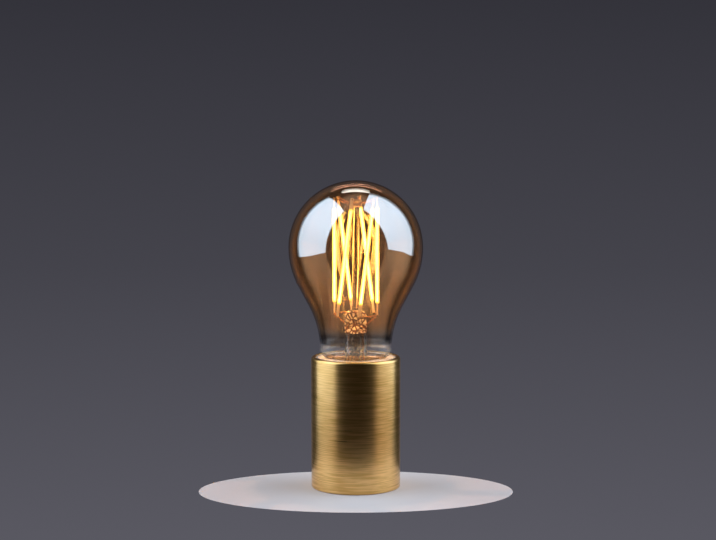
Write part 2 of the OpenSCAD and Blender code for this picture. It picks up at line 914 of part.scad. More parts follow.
module contact_plunger() {
    top_z = tip_z - plunger_gap;
    chamfer = 0.5;
    color(brass) {
        translate([0, 0, plunger_flange_low_z])
            cylinder(d = plunger_flange_d, h = plunger_flange_t);
        translate([0, 0, plunger_flange_low_z])
            cylinder(d = plunger_d, h = top_z - chamfer - plunger_flange_low_z);
        translate([0, 0, top_z - chamfer])
            cylinder(d1 = plunger_d, d2 = plunger_d - 2 * chamfer, h = chamfer);
    }
}

module contact_spring() {
    color(steel)
        translate([0, 0, spring_low_z])
            coil((plunger_flange_d - spring_wire_d) / 2 - 0.1, spring_wire_d, spring_l, spring_turns);
}

// Strip under the core, from the contact guide or the sleeve's riser to a terminal block
module strip_plate(from_x, to_x) {
    difference() {
        translate([from_x, -strip_w / 2, guide_low_z - strip_t])
            cube([to_x - from_x, strip_w, strip_t]);
        translate([sign(from_x + to_x) * block_offset, 0, core_low_z - over])
            cylinder(d = screw_d + 2 * screw_gap, h = core_floor);
    }
}

module live_strip() {
    color(brass)
        strip_plate(-2, block_offset + block_l / 2);
}

// The neutral strip also rises through the core's floor to the lower edge of the thread sleeve
module neutral_strip() {
    strip_z = guide_low_z - strip_t;
    color(brass) {
        strip_plate(-riser_x - strip_t, -block_offset + block_l / 2);
        translate([-riser_x - strip_t, -strip_w / 2, strip_z])
            cube([strip_t, strip_w, sleeve_low_z - strip_z]);
    }
}

module terminal_block(side) {
    block_z = guide_low_z;
    translate([side * block_offset, 0, block_z])
        difference() {
            translate([-block_l / 2, -block_w / 2, 0])
                cube([block_l, block_w, block_h]);
            translate([0, block_w, block_h - wire_hole_d])
                rotate([90, 0, 0])
                    cylinder(d = wire_hole_d, h = 2 * block_w);
            translate([0, 0, -over])
                cylinder(d = screw_d + 2 * screw_gap, h = block_h - block_cap + over);
        }
}

module live_terminal() {
    color(brass)
        terminal_block(1);
}

module neutral_terminal() {
    color(brass)
        terminal_block(-1);
}

// Clamp screws, driven from below through the strips into the blocks
module terminal_screws() {
    color(nickel)
        for (side = [-1, 1])
            translate([side * block_offset, 0, guide_low_z - strip_t])
                mirror([0, 0, 1])
                    slotted_screw(screw_d, screw_head_d, screw_head_h, strip_t + block_grip);
}

// From the socket's floor, through the core, into the lugs of the bracket
module core_screws() {
    head_z = socket_floor_z - screw_head_h - head_sink;
    length = head_z - core_low_z + bracket_t + screw_end;
    color(nickel)
        for (side = [-1, 1])
            translate([0, side * core_screw_r, head_z])
                slotted_screw(screw_d, screw_head_d, screw_head_h, length);
}

// Bent steel strap: a foot on the cup's floor, two legs and two lugs under the core
module mounting_bracket() {
    leg_h = core_low_z - cup_floor;
    color(steel)
        translate([0, 0, cup_floor])
            difference() {
                union() {
                    cylinder(d = bracket_foot_d, h = bracket_t);
                    translate([-bracket_w / 2, -leg_y - bracket_t, 0])
                        cube([bracket_w, 2 * (leg_y + bracket_t), bracket_t]);
                    for (side = [0, 1])
                        mirror([0, side, 0]) {
                            translate([-bracket_w / 2, leg_y, 0])
                                cube([bracket_w, bracket_t, leg_h]);
                            translate([-bracket_w / 2, core_screw_r - lug_reach, leg_h - bracket_t])
                                cube([bracket_w, 2 * lug_reach + bracket_t, bracket_t]);
                        }
                }
                translate([0, 0, -over])
                    cylinder(d = bracket_hole_d, h = bracket_t + 2 * over);
                for (side = [-1, 1]) {
                    translate([side * bracket_screw_r, 0, -over])
                        cylinder(d = screw_d + 2 * screw_gap, h = bracket_t + 2 * over);
                    translate([0, side * core_screw_r, leg_h - bracket_t - over])
                        cylinder(d = screw_d + 2 * screw_gap, h = bracket_t + 2 * over);
                }
                translate([earth_place[0], earth_place[1], -over])
                    cylinder(d = earth_screw_d + 2 * screw_gap, h = bracket_t + 2 * over);
            }
}

module bracket_screws() {
    length = bracket_t + cup_floor - blind_floor - screw_end_gap;
    color(nickel)
        for (side = [-1, 1])
            translate([side * bracket_screw_r, 0, cup_floor + bracket_t])
                slotted_screw(screw_d, screw_head_d, screw_head_h, length);
}

module earth_washer() {
    color(nickel)
        translate([0, 0, cup_floor + bracket_t])
            translate(earth_place)
                difference() {
                    cylinder(d = earth_head_d + 2 * washer_rim, h = washer_t);
                    translate([0, 0, -over])
                        cylinder(d = earth_screw_d + 2 * screw_gap, h = washer_t + 2 * over);
                }
}

module earth_screw() {
    color(brass)
        translate([0, 0, cup_floor + bracket_t + washer_t])
            translate(earth_place)
                slotted_screw(earth_screw_d, earth_head_d, screw_head_h, washer_t + bracket_t - 0.1);
}

glass_envelope();
stem_flare();
stem_press();
exhaust_tube();
centre_rod();
rod_button();
filament_1();
filament_2();
filament_3();
filament_4();
filament_5();
filament_6();
upper_tabs();
lower_tabs();
top_star();
live_ring();
neutral_ring();
live_lead();
neutral_lead();
cap_shell();
cap_cement();
cap_insulator();
cap_contact();
driver_board();
rectifier();
driver_chip();
smoothing_capacitor();
choke();
fusible_resistor();
tip_wire();
shell_wire();
shell_solder();
holder_cup();
porcelain_core();
thread_sleeve();
contact_guide();
contact_plunger();
contact_spring();
live_strip();
neutral_strip();
live_terminal();
neutral_terminal();
terminal_screws();
core_screws();
mounting_bracket();
bracket_screws();
earth_washer();
earth_screw();
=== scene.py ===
import bpy
import json
import math
from mathutils import Matrix, Vector

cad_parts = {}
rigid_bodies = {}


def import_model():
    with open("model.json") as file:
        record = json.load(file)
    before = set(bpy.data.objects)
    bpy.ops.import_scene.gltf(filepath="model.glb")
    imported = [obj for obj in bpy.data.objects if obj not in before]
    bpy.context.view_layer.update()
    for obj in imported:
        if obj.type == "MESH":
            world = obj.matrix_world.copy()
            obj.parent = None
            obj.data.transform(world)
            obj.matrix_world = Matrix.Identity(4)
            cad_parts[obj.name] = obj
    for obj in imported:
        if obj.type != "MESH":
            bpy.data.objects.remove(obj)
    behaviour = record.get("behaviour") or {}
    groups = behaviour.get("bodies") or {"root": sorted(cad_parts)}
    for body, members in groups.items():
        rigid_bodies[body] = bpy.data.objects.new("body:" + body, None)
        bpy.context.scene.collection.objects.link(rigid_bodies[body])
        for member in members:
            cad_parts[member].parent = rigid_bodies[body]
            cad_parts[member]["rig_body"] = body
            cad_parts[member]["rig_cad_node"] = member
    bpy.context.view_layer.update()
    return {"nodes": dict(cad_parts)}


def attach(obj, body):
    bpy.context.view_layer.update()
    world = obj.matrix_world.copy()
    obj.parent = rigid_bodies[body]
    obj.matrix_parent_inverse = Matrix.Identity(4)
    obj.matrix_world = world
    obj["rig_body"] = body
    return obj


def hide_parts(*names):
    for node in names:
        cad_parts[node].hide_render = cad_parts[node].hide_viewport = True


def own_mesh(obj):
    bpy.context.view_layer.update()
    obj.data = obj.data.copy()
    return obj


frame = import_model()
cad = frame["nodes"]


# Holder cup. A plain brass cup, turned from bar on a lathe, with a rounded rim and a threaded entry in
# its thick floor. Its outside is brushed round with a fine abrasive and left without lacquer.

CUP_R, CUP_H, CUP_WALL, CUP_FLOOR, ENTRY_R = 0.020, 0.059, 0.0018, 0.004, 0.0045
FOOT_ROUND, RIM_ROUND, BORE_ROUND, ENTRY_CHAMFER = 0.0005, 0.0012, 0.0002, 0.0004


def arc(centre, r, start, end, steps):
    """Points of an arc in the plane of the section, with its angles in degrees."""
    angles = [math.radians(start + (end - start) * i / steps) for i in range(steps + 1)]
    return [(centre[0] + r * math.cos(a), centre[1] + r * math.sin(a)) for a in angles]


def lathe(name, profile, steps):
    """Turns a profile of radii and heights round the axis into a closed piece."""
    bpy.ops.object.select_all(action="DESELECT")
    bpy.ops.mesh.primitive_plane_add(size=0.002)
    piece = bpy.context.object
    piece.name = piece.data.name = name
    bpy.ops.object.mode_set(mode="EDIT")
    bpy.ops.mesh.select_all(action="SELECT")
    bpy.ops.mesh.merge(type="CENTER")
    bpy.ops.transform.translate(value=(profile[0][0], 0, profile[0][1]))
    for here, there in zip(profile, profile[1:]):
        move = (there[0] - here[0], 0, there[1] - here[1])
        bpy.ops.mesh.extrude_region_move(TRANSFORM_OT_translate={"value": move})
    bpy.ops.mesh.select_all(action="SELECT")
    bpy.ops.mesh.spin(steps=steps, angle=2 * math.pi, center=(0, 0, 0), axis=(0, 0, 1))
    bpy.ops.mesh.select_all(action="SELECT")
    bpy.ops.mesh.remove_doubles(threshold=2e-6)
    bpy.ops.mesh.normals_make_consistent(inside=False)
    bpy.ops.object.mode_set(mode="OBJECT")
    return piece


def smooth(piece, angle=35):
    """Shades a piece smooth, apart from its sharp edges."""
    bpy.ops.object.select_all(action="DESELECT")
    piece.select_set(True)
    bpy.context.view_layer.objects.active = piece
    bpy.ops.object.shade_smooth_by_angle(angle=math.radians(angle))


def apply_modifier(piece, kind, **settings):
    """Adds a modifier with its settings and applies it."""
    bpy.ops.object.select_all(action="DESELECT")
    piece.select_set(True)
    bpy.context.view_layer.objects.active = piece
    modifier = piece.modifiers.new(kind.title(), kind)
    for key, value in settings.items():
        setattr(modifier, key, value)
    bpy.ops.object.modifier_apply(modifier=modifier.name)


class Value:
    """A socket in a material, so that shader maths reads as Python."""

    def __init__(self, finish, socket):
        self.finish, self.socket = finish, socket

    def maths(self, operation, first, second):
        """The result of a Math node."""
        return self.finish.node("ShaderNodeMath", {"operation": operation}, {0: first, 1: second})

    def __add__(self, other):
        return self.maths("ADD", self, other)

    def __radd__(self, other):
        return self.maths("ADD", other, self)

    def __sub__(self, other):
        return self.maths("SUBTRACT", self, other)

    def __rsub__(self, other):
        return self.maths("SUBTRACT", other, self)

    def __mul__(self, other):
        return self.maths("MULTIPLY", self, other)

    def __rmul__(self, other):
        return self.maths("MULTIPLY", other, self)

    def __pow__(self, other):
        return self.maths("POWER", self, other)


class Finish:
    """A material, or the world, that is built one node at a time."""

    def __init__(self, name, owner=None):
        self.owner = owner or bpy.data.materials.new(name)
        self.owner.use_nodes = True
        self.tree = self.owner.node_tree
        self.tree.nodes.clear()

    def node(self, kind, settings=None, sockets=None, output=0):
        """A node of a kind, with its settings made first and then its sockets, as one of its outputs."""
        made = self.tree.nodes.new(kind)
        for key, value in (settings or {}).items():
            if key == "stops":
                ramp = made.color_ramp.elements
                ramp[0].position, ramp[0].color = value[0]
                ramp[1].position, ramp[1].color = value[-1]
                for position, colour in value[1:-1]:
                    ramp.new(position).color = colour
            else:
                setattr(made, key, value)
        for key, value in (sockets or {}).items():
            if isinstance(value, Value):
                self.tree.links.new(value.socket, made.inputs[key])
            else:
                made.inputs[key].default_value = value
        return Value(self, made.outputs[output]) if made.outputs else None

    def place(self, scale):
        """Coordinates on the piece, in metres times one scale or a scale for each axis."""
        here = self.node("ShaderNodeTexCoord", output="Object")
        scales = scale if isinstance(scale, tuple) else (scale,) * 3
        return self.node("ShaderNodeMapping", None, {"Vector": here, "Scale": scales})

    def xyz(self):
        """The three coordinates on the piece, as values."""
        here = self.node("ShaderNodeTexCoord", output="Object")
        return self.apart(here)

    def apart(self, vector):
        """The three parts of a vector, as values."""
        parts = self.node("ShaderNodeSeparateXYZ", None, {"Vector": vector}).socket.node
        return [Value(self, parts.outputs[i]) for i in range(3)]

    def noise(self, vector, detail, roughness):
        """Noise with one lump to a unit of its vector."""
        return self.node("ShaderNodeTexNoise", None, {
            "Vector": vector, "Scale": 1.0, "Detail": detail, "Roughness": roughness,
        })

    def between(self, amount, first, second):
        """A colour between two, by amount."""
        return self.node("ShaderNodeMix", {"data_type": "RGBA"}, {0: amount, 6: first, 7: second}, output=2)

    def band(self, value, low, high):
        """0 below low, 1 above high and a soft step between them."""
        return self.node("ShaderNodeMapRange", {"interpolation_type": "SMOOTHSTEP"}, {
            "Value": value, "From Min": low, "From Max": high,
        })

    def bump(self, height, strength, distance):
        """A normal that follows a height."""
        return self.node("ShaderNodeBump", None, {
            "Height": height, "Strength": strength, "Distance": distance,
        })

    def clear(self, colour):
        """A shader that lets light of a colour straight through."""
        return self.node("ShaderNodeBsdfTransparent", None, {"Color": (*colour, 1)})

    def matt(self, colour):
        """A shader that scatters light of a colour."""
        return self.node("ShaderNodeBsdfDiffuse", None, {"Color": (*colour, 1)})

    def layer(self, amount, below, above):
        """A shader over another one, by amount."""
        return self.node("ShaderNodeMixShader", None, {0: amount, 1: below, 2: above})

    def surface(self, shader):
        """Ends the material with its shader and gives the material back."""
        self.node("ShaderNodeOutputMaterial", None, {"Surface": shader})
        return self.owner

    def principled(self, **sockets):
        """The Principled shader, with its sockets' names written with underscores."""
        named = {key.replace("_", " "): value for key, value in sockets.items()}
        return self.node("ShaderNodeBsdfPrincipled", None, named)


def turned_brass(name, light, dark, rough, scratch, lines):
    """Brass with fine lines round the axis, so many to a metre, and in rings on its end faces."""
    finish = Finish(name)
    x, y, z = finish.xyz()
    along = z + (x * x + y * y) ** 0.5
    fine = finish.node("ShaderNodeCombineXYZ", None, {"X": x * 90, "Y": y * 90, "Z": along * lines})
    broad = finish.node("ShaderNodeCombineXYZ", None, {"X": x * 70, "Y": y * 70, "Z": along * (lines / 2)})
    hair = finish.noise(fine, 3.0, 0.6)
    streak = finish.noise(broad, 2.0, 0.6)
    cloud = finish.noise(finish.place((55, 55, 40)), 3.0, 0.55)
    tone = finish.band(hair * 0.25 + streak * 0.55 + cloud * 0.20, 0.40, 0.60)
    return finish.surface(finish.principled(
        Base_Color=finish.between(tone, dark, light),
        Metallic=1.0,
        Roughness=rough + (streak - 0.5) * 0.06 + (cloud - 0.5) * 0.03,
        Anisotropic=0.40,
        Anisotropic_Rotation=0.25,
        Normal=finish.bump(hair * 0.4 + streak * 0.6, scratch, 0.00004),
    ))


def give(piece, material):
    """Puts one material on a new piece or on a CAD node."""
    if piece.data.materials:
        piece.material_slots[0].material = material
    else:
        piece.data.materials.append(material)


brushed_brass = turned_brass(
    "brushed_brass", (1.0, 0.63, 0.26, 1), (0.72, 0.41, 0.12, 1), rough=0.29, scratch=0.24, lines=5000)
cup = lathe("brass_cup", [
    (ENTRY_R + ENTRY_CHAMFER, 0.0), (CUP_R - FOOT_ROUND, 0.0),
    *arc((CUP_R - FOOT_ROUND, FOOT_ROUND), FOOT_ROUND, -75, 0, 4),
    *arc((CUP_R - RIM_ROUND, CUP_H - RIM_ROUND), RIM_ROUND, 0, 90, 10),
    *arc((CUP_R - CUP_WALL + BORE_ROUND, CUP_H - BORE_ROUND), BORE_ROUND, 90, 180, 3),
    (CUP_R - CUP_WALL, CUP_FLOOR), (ENTRY_R + ENTRY_CHAMFER, CUP_FLOOR),
    (ENTRY_R, CUP_FLOOR - ENTRY_CHAMFER), (ENTRY_R, ENTRY_CHAMFER), (ENTRY_R + ENTRY_CHAMFER, 0.0),
], steps=160)
smooth(cup)
give(cup, brushed_brass)
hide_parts("holder_cup")
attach(cup, "holder")


# Porcelain core. One pressed and fired block of steatite porcelain with a clear glaze, which holds the
# thread sleeve, the sprung contact and the terminals. Its top ring shows inside the brass rim.

CORE_EDGE = 0.00025


def copy_of(node, name):
    """A copy of a CAD node with its triangles joined up."""
    bpy.ops.object.select_all(action="DESELECT")
    piece = cad[node].copy()
    piece.data = cad[node].data.copy()
    for key in ("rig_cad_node", "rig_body"):  # the copy is a piece of its own
        if key in piece:
            del piece[key]
    piece.parent = None
    piece.name = piece.data.name = name
    bpy.context.scene.collection.objects.link(piece)
    piece.select_set(True)
    bpy.context.view_layer.objects.active = piece
    bpy.ops.object.mode_set(mode="EDIT")
    bpy.ops.mesh.select_all(action="SELECT")
    bpy.ops.mesh.remove_doubles(threshold=1e-6)
    bpy.ops.mesh.dissolve_limited(angle_limit=math.radians(0.5))
    bpy.ops.object.mode_set(mode="OBJECT")
    if piece.data.has_custom_normals:
        bpy.ops.mesh.customdata_custom_splitnormals_clear()
    return piece


finish = Finish("glazed_porcelain")
speckle = finish.noise(finish.place(900), 2.0, 0.5)
cloud = finish.noise(finish.place(90), 3.0, 0.6)
mottle = cloud * 0.7 + speckle * 0.3
# Its warm pink tone is partly the porcelain's own cream and partly painted warm light from the filaments.
glazed_porcelain = finish.surface(finish.principled(
    Base_Color=finish.between(finish.band(mottle, 0.35, 0.65), (0.82, 0.62, 0.49, 1), (0.90, 0.70, 0.57, 1)),
    Roughness=0.30 + (speckle - 0.5) * 0.12,
    Coat_Weight=0.4,
    Coat_Roughness=0.12,
    Normal=finish.bump(mottle, 0.25, 0.00008),
))
core = copy_of("porcelain_core", "porcelain")
apply_modifier(core, "BEVEL", width=CORE_EDGE, segments=2, limit_method="ANGLE", angle_limit=math.radians(50))
smooth(core, 30)
give(core, glazed_porcelain)
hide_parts("porcelain_core")
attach(core, "holder")


# Thread sleeve and contact guide. The sleeve is brass sheet rolled to the screw thread and pressed into
# the porcelain. The guide is a small turned cup, riveted to the live strip.

plain_brass = turned_brass(
    "plain_brass", (0.82, 0.60, 0.30, 1), (0.68, 0.48, 0.22, 1), rough=0.24, scratch=0.12, lines=3000)
sleeve = copy_of("thread_sleeve", "rolled_sleeve")
smooth(sleeve, 45)
give(sleeve, plain_brass)
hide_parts("thread_sleeve")
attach(sleeve, "holder")
give(cad["contact_guide"], plain_brass)


# Centre contact. A turned brass plunger with a flange that its guide holds in, pushed up by a coil of
# spring steel against the tip of the bulb.

TIP_Z, TIP_GAP = 0.0329, 0.00005
FLANGE_LOW, FLANGE_TOP, FLANGE_R, FLANGE_ROUND = 0.02625, 0.02745, 0.0039, 0.0002
PIN_R, PIN_TOP, PIN_ROUND = 0.0030, TIP_Z - TIP_GAP, 0.0005

plunger = lathe("sprung_contact", [
    (0.0, FLANGE_LOW), *arc((FLANGE_R - FLANGE_ROUND, FLANGE_LOW + FLANGE_ROUND), FLANGE_ROUND, -90, 0, 3),
    *arc((FLANGE_R - FLANGE_ROUND, FLANGE_TOP - FLANGE_ROUND), FLANGE_ROUND, 0, 90, 3), (PIN_R, FLANGE_TOP),
    *arc((PIN_R - PIN_ROUND, PIN_TOP - PIN_ROUND), PIN_ROUND, 0, 90, 5), (0.0, PIN_TOP),
], steps=64)
smooth(plunger)
give(plunger, plain_brass)
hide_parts("contact_plunger")
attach(plunger, "centre_contact")


def wire(name, points, d, round_corner=0.0, sides=5):
    """Round wire of diameter d along points, with its corners rounded and its ends closed."""
    path, steps = [], 6
    for i, here in enumerate(map(Vector, points)):
        if 0 < i < len(points) - 1 and round_corner:
            back = here + (Vector(points[i - 1]) - here).normalized() * round_corner
            ahead = here + (Vector(points[i + 1]) - here).normalized() * round_corner
            for step in range(steps + 1):
                t = step / steps
                path.append(back * (1 - t) ** 2 + here * 2 * t * (1 - t) + ahead * t ** 2)
        else:
            path.append(here)
    bpy.ops.object.select_all(action="DESELECT")
    bpy.ops.curve.primitive_nurbs_path_add()
    piece = bpy.context.object
    piece.name = piece.data.name = name
    curve = piece.data
    curve.splines.clear()
    spline = curve.splines.new("POLY")
    spline.points.add(len(path) - 1)
    for point, place in zip(spline.points, path):
        point.co = (*place, 1)
    curve.dimensions = "3D"
    curve.bevel_depth = d / 2
    curve.bevel_resolution = sides
    curve.use_fill_caps = True
    bpy.ops.object.convert(target="MESH")
    bpy.ops.object.mode_set(mode="EDIT")
    bpy.ops.mesh.select_all(action="SELECT")
    bpy.ops.mesh.remove_doubles(threshold=1e-7)
    bpy.ops.mesh.normals_make_consistent(inside=False)
    bpy.ops.object.mode_set(mode="OBJECT")
    smooth(piece, 50)
    return piece


def plated(name, light, dark, rough, metal=1.0, grain=400, glow=0.0):
    """Bright metal with faint blotches and a fine grain. The glow is painted light, an emission for metal
    right beside a filament.
    """
    finish = Finish(name)
    blotch = finish.noise(finish.place(grain), 4.0, 0.6)
    fine = finish.noise(finish.place(grain * 9), 2.0, 0.5)
    return finish.surface(finish.principled(
        Base_Color=finish.between(finish.band(blotch, 0.35, 0.65), dark, light),
        Metallic=metal,
        Roughness=rough + (blotch - 0.5) * 0.18,
        Emission_Color=(1.0, 0.80, 0.44, 1),
        Emission_Strength=glow,
        Normal=finish.bump(fine * 0.5 + blotch * 0.5, 0.12, 0.00003),
    ))


spring_steel = plated("spring_steel", (0.62, 0.63, 0.64, 1), (0.48, 0.48, 0.50, 1), 0.30)
SPRING_LOW, SPRING_TOP, SPRING_R, SPRING_WIRE = 0.02205, FLANGE_LOW, 0.00355, 0.0005
SPRING_TURNS, FLAT_TURNS, TURN_STEPS = 5, 0.75, 28
coil_path = []
for i in range(SPRING_TURNS * TURN_STEPS + 1):
    turn = i / TURN_STEPS
    rise = min(max(turn - FLAT_TURNS, 0) / (SPRING_TURNS - 2 * FLAT_TURNS), 1)
    height = SPRING_LOW + SPRING_WIRE / 2 + rise * (SPRING_TOP - SPRING_LOW - SPRING_WIRE)
    angle = 2 * math.pi * turn
    coil_path.append((SPRING_R * math.cos(angle), SPRING_R * math.sin(angle), height))
spring = wire("contact_coil", coil_path, SPRING_WIRE, sides=3)
give(spring, spring_steel)
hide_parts("contact_spring")
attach(spring, "holder")
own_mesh(spring)


# Terminals, bracket and screws. The strips and the blocks are stamped and cut brass, the bracket is bent
# from zinc-plated steel strip, and the small screws are nickel-plated. All of it sits in the cup's floor.

strip_brass = plated("strip_brass", (0.80, 0.60, 0.32, 1), (0.62, 0.44, 0.20, 1), 0.30, grain=260)
zinc_plate = plated("zinc_plate", (0.64, 0.66, 0.70, 1), (0.46, 0.49, 0.54, 1), 0.36, grain=320)
nickel_plate = plated("nickel_plate", (0.74, 0.72, 0.68, 1), (0.60, 0.57, 0.52, 1), 0.24, grain=300)
for node in ("live_strip", "neutral_strip", "live_terminal", "neutral_terminal"):
    give(cad[node], strip_brass)
for node in ("terminal_screws", "core_screws", "bracket_screws", "earth_washer"):
    give(cad[node], nickel_plate)
give(cad["mounting_bracket"], zinc_plate)
give(cad["earth_screw"], plain_brass)


# Glass envelope. Soda-lime glass blown into the pear shape and coated on the inside: silvery amber at the top
# and amber down to the edge of the coat in the neck, where a darker ring is painted shade, and clear at its
# foot, with a pale band and a warm band there that are painted reflections. The spigot below is fused to the
# stem and cemented into the cap.

CAP_TOP, WIDEST, BULB_R, GLASS = 0.0589, 0.1079, 0.030, 0.0008
NECK_R, BELLY_R, FOOT_R, SILL_R, SPIGOT_R, SPIGOT_Z = 0.016, 0.036, 0.0031, 0.0015, 0.0112, 0.053
SLOPE_SHARE = 1.65
COAT_LOW, COAT_FULL, SILVER_LOW, SILVER_FULL = 0.065, 0.075, 0.084, 0.106
# Heights of the painted reflection bands at the foot of the glass and of the painted shade ring in its neck.
PALE_BAND_LOW, WARM_BAND_TOP, SHADE_RING_LOW, SHADE_RING_TOP = 0.0612, 0.0628, 0.0650, 0.0710
PLAIN_SHINE = 0.045

throat_z = CAP_TOP + FOOT_R
slope = math.radians(SLOPE_SHARE * math.degrees(math.atan2(BULB_R - NECK_R, WIDEST - throat_z)))
belly_end = (BULB_R - BELLY_R + BELLY_R * math.cos(slope), WIDEST - BELLY_R * math.sin(slope))
drop, reach = belly_end[1] - throat_z, belly_end[0] - NECK_R
straight = (reach - drop * math.tan(slope / 2)) / (math.tan(slope) - math.tan(slope / 2))
throat_r = (drop - straight) / math.sin(slope)


def glass_side(inset):
    """The side of the bulb from its top down to the end of the spigot, moved inwards by inset."""
    bend = math.degrees(slope)
    points = [
        *arc((0, WIDEST), BULB_R - inset, 90, 0, 40),
        *arc((BULB_R - BELLY_R, WIDEST), BELLY_R - inset, -3, -bend, 16),
        *arc((NECK_R + throat_r, throat_z), throat_r + inset, 180 - bend, 180, 20),
        *arc((NECK_R - FOOT_R, throat_z), FOOT_R - inset, -9, -90, 10),
        *arc((SPIGOT_R + SILL_R, CAP_TOP - SILL_R), SILL_R + inset, 90, 180, 8),
        (SPIGOT_R - inset, SPIGOT_Z),
    ]
    return [(max(r, 0), z) for r, z in points]


def thin_glass(name, tint, shine, haze, edge, edge_from, edge_full):
    """Thin blown glass that shows what is behind it, coated above the neck and silvered above its middle."""
    finish = Finish(name)
    facing = finish.node("ShaderNodeLayerWeight", None, {"Blend": 0.5}, output="Facing")
    z = finish.xyz()[2]
    cloud = finish.noise(finish.place((60, 60, 30)), 2.0, 0.5)
    height = z + (cloud - 0.5) * 0.004
    coated = finish.band(height, COAT_LOW, COAT_FULL)
    silvered = finish.band(height, SILVER_LOW, SILVER_FULL)

    # The bare wall, darker where it is seen edge on, with a painted shade ring in the neck, a painted pale
    # reflection band below it and a painted warm reflection at the foot.
    thick = finish.band(facing, 0.62, 0.90) * 0.6
    wall = finish.layer(thick, finish.clear((0.97, 0.98, 0.985)), finish.clear((0.34, 0.34, 0.39)))
    # A darker band in the neck where the coat ends, painted shade.
    painted_shade_ring = finish.band(height, SHADE_RING_LOW, SHADE_RING_LOW + 0.0012)
    painted_shade_ring = painted_shade_ring * finish.band(height, SHADE_RING_TOP, SHADE_RING_TOP - 0.0016)
    wall = finish.layer(painted_shade_ring * 0.68, wall, finish.clear((0.42, 0.43, 0.45)))
    # A pale diffuse band at the foot of the glass, a painted reflection.
    painted_pale_band = finish.band(z, PALE_BAND_LOW, PALE_BAND_LOW + 0.0008)
    painted_pale_band = painted_pale_band * finish.band(z, SHADE_RING_LOW + 0.0004, SHADE_RING_LOW - 0.0004)
    wall = finish.layer(painted_pale_band * 0.07, wall, finish.matt((0.90, 0.86, 0.92)))
    # A warm pale band at the very foot of the glass, a painted reflection.
    painted_warm_reflection = finish.band(z, PALE_BAND_LOW, PALE_BAND_LOW + 0.0004) * finish.band(z, WARM_BAND_TOP + 0.0003, WARM_BAND_TOP - 0.0003)
    wall = finish.layer(painted_warm_reflection * 0.13, wall, finish.matt((1.0, 0.82, 0.68)))

    # The coat, a tint with a lit haze over it, and deep brown near its outline with a paler painted highlight
    # line just inside it.
    back = finish.node("ShaderNodeBsdfTranslucent", None, {"Color": (0.70, 0.50, 0.40, 1)})
    glow = finish.layer(0.5, finish.matt((0.70, 0.50, 0.40)), back)
    coat = finish.layer(haze * (1.6 - silvered * 0.8), finish.clear(tint), glow)
    # A paler line just inside the outline, a painted highlight.
    painted_edge_highlight = finish.band(facing, 0.54, 0.68) - finish.band(facing, 0.70, 0.86)
    deep = finish.layer(painted_edge_highlight * 0.16 + 0.03, finish.clear((0.18, 0.10, 0.05)), finish.matt((0.42, 0.29, 0.18)))
    coat = finish.layer(finish.band(facing, edge_from, edge_full) * edge, coat, deep)

    gloss = finish.node("ShaderNodeBsdfGlossy", None, {"Color": (1, 1, 1, 1), "Roughness": 0.015})
    shining = facing ** 5 * 0.22 + silvered * (shine - PLAIN_SHINE) + PLAIN_SHINE
    return finish.surface(finish.layer(shining, finish.layer(coated, wall, coat), gloss))


outer_glass = thin_glass(
    "outer_glass", (1, 1, 1), shine=0.07, haze=0.0, edge=0.85, edge_from=0.5, edge_full=0.95)
amber_film = thin_glass(
    "amber_film", (0.70, 0.43, 0.27), shine=0.32, haze=0.046, edge=0.75, edge_from=0.33, edge_full=0.56)
outside, inside = glass_side(0), glass_side(GLASS)
bulb = lathe("blown_glass", outside + inside[::-1], steps=128)
smooth(bulb, 60)
give(bulb, outer_glass)
bulb.data.materials.append(amber_film)
bpy.ops.object.mode_set(mode="EDIT")
bpy.ops.mesh.select_all(action="DESELECT")
bpy.ops.object.mode_set(mode="OBJECT")
# The faces that look inwards carry the film.
for face in bulb.data.polygons:
    middle = face.center
    out = Vector((middle.x, middle.y, 0)) if middle.z < WIDEST else middle - Vector((0, 0, WIDEST))
    face.select = face.normal.dot(out) < 0
bpy.ops.object.mode_set(mode="EDIT")
bulb.active_material_index = 1
bpy.ops.object.material_slot_assign()
bpy.ops.object.mode_set(mode="OBJECT")
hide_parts("glass_envelope")
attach(bulb, "bulb")


# Stem. A tube of clear lead glass, flared and fused to the envelope at its foot, pinched flat at its top
# round the two lead wires, with the sealed exhaust tube below and a solid rod above.

STEM_R, STEM_WALL, FLARE_R, STEM_TOP, PRESS_TOP = 0.005, 0.0008, 0.0052, 0.0699, 0.0794
flare = (STEM_R + FLARE_R, SPIGOT_Z + FLARE_R)


def solid_glass(name, colour, rough, waves, depth, painted_glint_seal=0.0):
    """Solid glass that bends what is behind it and lets the lamps through, with copper-red seal in places,
    whose bright and glowing facets are painted glints.
    """
    finish = Finish(name)
    wave = finish.noise(finish.place((waves, waves, waves * 0.6)), 2.0, 0.5)
    uneven = finish.bump(wave, depth, 0.0002)
    body = finish.principled(
        Base_Color=(*colour, 1), Roughness=rough, IOR=1.5, Transmission_Weight=1.0, Normal=uneven,
    )
    if painted_glint_seal:
        crackle = finish.node("ShaderNodeTexVoronoi", {"feature": "DISTANCE_TO_EDGE"}, {
            "Vector": finish.place(480), "Scale": 1.0,
        })
        # The seal's bright facets, in colour and in emission, are painted glints.
        painted_glint_facets = finish.band(crackle + wave * 0.2, 0.20, 0.32)
        seal_with_painted_glints = finish.principled(
            Base_Color=finish.between(painted_glint_facets, (0.16, 0.035, 0.012, 1), (1.0, 0.92, 0.70, 1)),
            Metallic=0.20, Roughness=0.38, Normal=finish.bump(crackle, 1.0, 0.0015),
            Emission_Color=finish.between(painted_glint_facets, (0.04, 0.004, 0.0, 1), (1.0, 0.80, 0.48, 1)),
            Emission_Strength=0.75,
        )
        body = finish.layer(finish.band(wave, 0.38, 0.54) * painted_glint_seal, body, seal_with_painted_glints)
    shadow = finish.node("ShaderNodeLightPath", output="Is Shadow Ray")
    return finish.surface(finish.layer(shadow, body, finish.clear(colour)))


